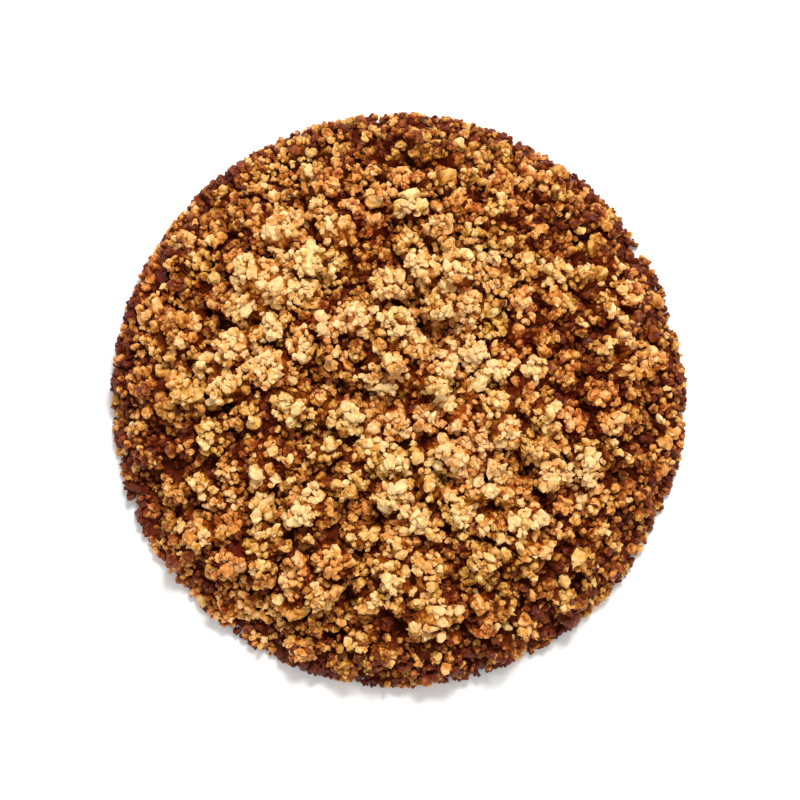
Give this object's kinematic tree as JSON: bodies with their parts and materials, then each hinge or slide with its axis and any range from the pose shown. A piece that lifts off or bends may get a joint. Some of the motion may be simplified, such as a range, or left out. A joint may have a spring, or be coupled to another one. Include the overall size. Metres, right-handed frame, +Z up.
{
  "type": "heap of granulated piloncillo sugar",
  "caption": "Low round heap of moist granulated unrefined cane sugar, its grains stuck together in rough crumbs, flat underneath where it rests.",
  "frame": {"origin": "centre of the heap's outline, on the surface that it rests on", "axes": "+Z up, out of the top of the heap; +Y towards the top edge of the picture and +X towards its right edge"},
  "size_m": [0.06, 0.06, 0.0161],
  "materials": {
    "granulated_piloncillo": "rough heap of golden brown sugar grains, amber to cream coloured, slightly translucent with small glints"
  },
  "bodies": {
    "root": {"sugar_heap": "granulated_piloncillo"}
  },
  "joints": []
}
